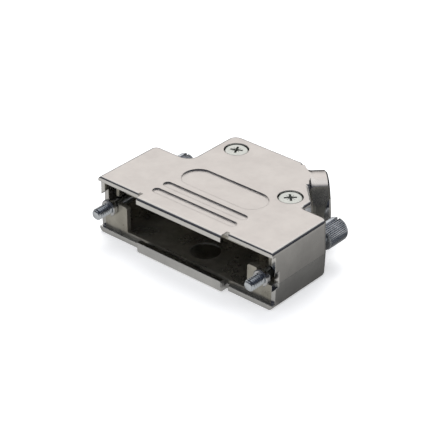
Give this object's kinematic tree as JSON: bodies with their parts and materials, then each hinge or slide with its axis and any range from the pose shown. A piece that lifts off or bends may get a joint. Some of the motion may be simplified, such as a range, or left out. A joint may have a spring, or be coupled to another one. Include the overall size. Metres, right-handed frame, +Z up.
{
  "type": "d-sub hood",
  "caption": "Two-part die-cast metal hood for a D-sub cable connector, with a 45 degree cable exit, captive knurled jackscrews and a saddle clamp inside.",
  "frame": {"origin": "on the flat underside, midway between the two jackscrews, straight below the front edges of the wings", "axes": "+Z up through the plate with the sunk pattern, -Y out of the connector mouth, +Y towards the cable end, +X along the jackscrew row towards the side of the cable exit"},
  "size_m": [0.054, 0.046, 0.0152],
  "materials": {
    "cast_top": "satin plated top, polished sides",
    "cast_bottom": "polished plated",
    "screw_steel": "bright plated",
    "ring_steel": "bright plated"
  },
  "bodies": {
    "hood": {"upper_shell": "cast_top", "lower_shell": "cast_bottom", "assembly_screw_left": "screw_steel", "assembly_screw_right": "screw_steel", "assembly_nut_left": "ring_steel", "assembly_nut_right": "ring_steel", "clamp_bar_upper": "ring_steel", "clamp_bar_lower": "ring_steel", "clamp_screw_rear": "screw_steel", "clamp_screw_front": "screw_steel"},
    "ring_left": {"retaining_ring_left": "ring_steel"},
    "ring_right": {"retaining_ring_right": "ring_steel"},
    "screw_left": {"jackscrew_left": "screw_steel"},
    "screw_right": {"jackscrew_right": "screw_steel"}
  },
  "joints": [
    {"name": "float_left", "type": "slide", "parent": "hood", "child": "ring_left", "axis": [0, 1, 0], "range_m": [-0.0014, 0]},
    {"name": "float_right", "type": "slide", "parent": "hood", "child": "ring_right", "axis": [0, 1, 0], "range_m": [-0.0014, 0]},
    {"name": "turn_left", "type": "hinge", "parent": "ring_left", "child": "screw_left", "pos_m": [-0.02352, 0, 0.0076], "axis": [0, 1, 0], "continuous": true},
    {"name": "turn_right", "type": "hinge", "parent": "ring_right", "child": "screw_right", "pos_m": [0.02352, 0, 0.0076], "axis": [0, 1, 0], "continuous": true}
  ]
}
